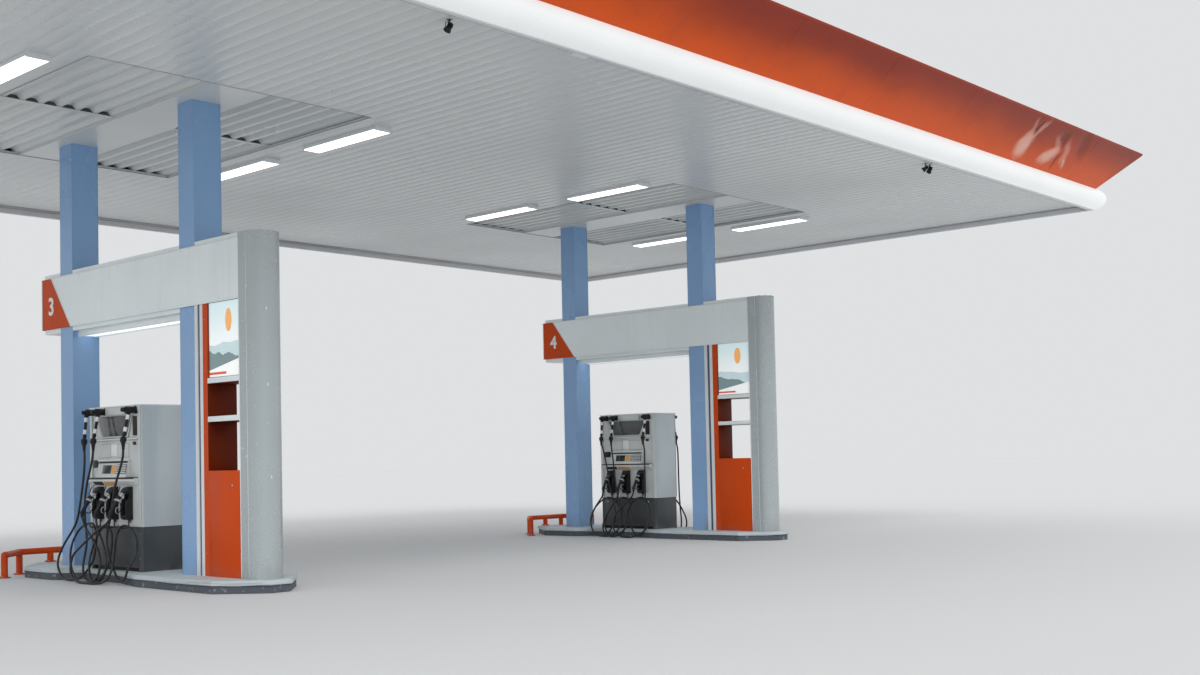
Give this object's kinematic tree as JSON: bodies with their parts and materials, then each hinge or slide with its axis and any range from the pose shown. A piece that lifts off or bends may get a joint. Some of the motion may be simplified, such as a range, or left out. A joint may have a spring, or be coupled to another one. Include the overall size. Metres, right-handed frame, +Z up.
{
  "type": "filling station canopy",
  "caption": "Filling station canopy with a leaning fascia, lit edge bar and ceiling recesses, on column pairs over pump islands with sign headers, cabinets and dispensers.",
  "frame": {"origin": "on the floor under the middle of the canopy", "axes": "+Z up, +Y across the islands from island 3 to island 4, +X along the islands to the pylons"},
  "size_m": [13.848, 21.558, 6.627],
  "materials": {
    "ceiling_white": "matt white ceiling sheet",
    "trim_grey": "light grey satin paint",
    "galvanised": "dull zinc",
    "lit_white": "lit opal white",
    "orange_red": "orange-red gloss paint",
    "silver_paint": "silver metallic paint",
    "steel_blue": "blue-grey satin paint",
    "white_paint": "white satin paint",
    "kerb_concrete": "painted concrete",
    "dark_grey": "dark grey satin paint",
    "pale_plastic": "light grey panels",
    "black_plastic": "black",
    "hose_rubber": "black rubber"
  },
  "bodies": {
    "root": {"soffit": "ceiling_white", "recess_sheets": "ceiling_white", "girders": "ceiling_white", "edge_channel": "galvanised", "roof_deck": "galvanised", "edge_trim": "trim_grey", "light_bar": "lit_white", "fascia": "orange_red", "fascia_brackets": "galvanised", "ceiling_lights": "lit_white", "small_lamps": "dark_grey", "number_panels": "orange_red", "header_lamps": "lit_white", "poster_boxes": "lit_white", "kerb_3": "kerb_concrete", "kerb_4": "kerb_concrete", "crash_rail_3": "orange_red", "crash_rail_4": "orange_red", "column_rear_3": "steel_blue", "column_rear_4": "steel_blue", "column_front_3": "steel_blue", "column_front_4": "steel_blue", "header_3": "silver_paint", "header_4": "silver_paint", "pylon_3": "silver_paint", "pylon_4": "silver_paint", "cabinet_3": "orange_red", "cabinet_4": "orange_red", "cabinet_frame_3": "white_paint", "cabinet_frame_4": "white_paint", "dispenser_case_3": "silver_paint", "dispenser_case_4": "silver_paint", "dispenser_base_3": "dark_grey", "dispenser_base_4": "dark_grey", "dispenser_panels_3": "pale_plastic", "dispenser_panels_4": "pale_plastic", "hose_outlets_3": "black_plastic", "hose_outlets_4": "black_plastic", "nozzles_3": "black_plastic", "nozzles_4": "black_plastic", "hose_3a": "hose_rubber", "hose_3b": "hose_rubber", "hose_3c": "hose_rubber", "hose_3d": "hose_rubber", "hose_3e": "hose_rubber", "hose_3f": "hose_rubber", "hose_4a": "hose_rubber", "hose_4b": "hose_rubber", "hose_4c": "hose_rubber", "hose_4d": "hose_rubber", "hose_4e": "hose_rubber", "hose_4f": "hose_rubber"}
  },
  "joints": []
}
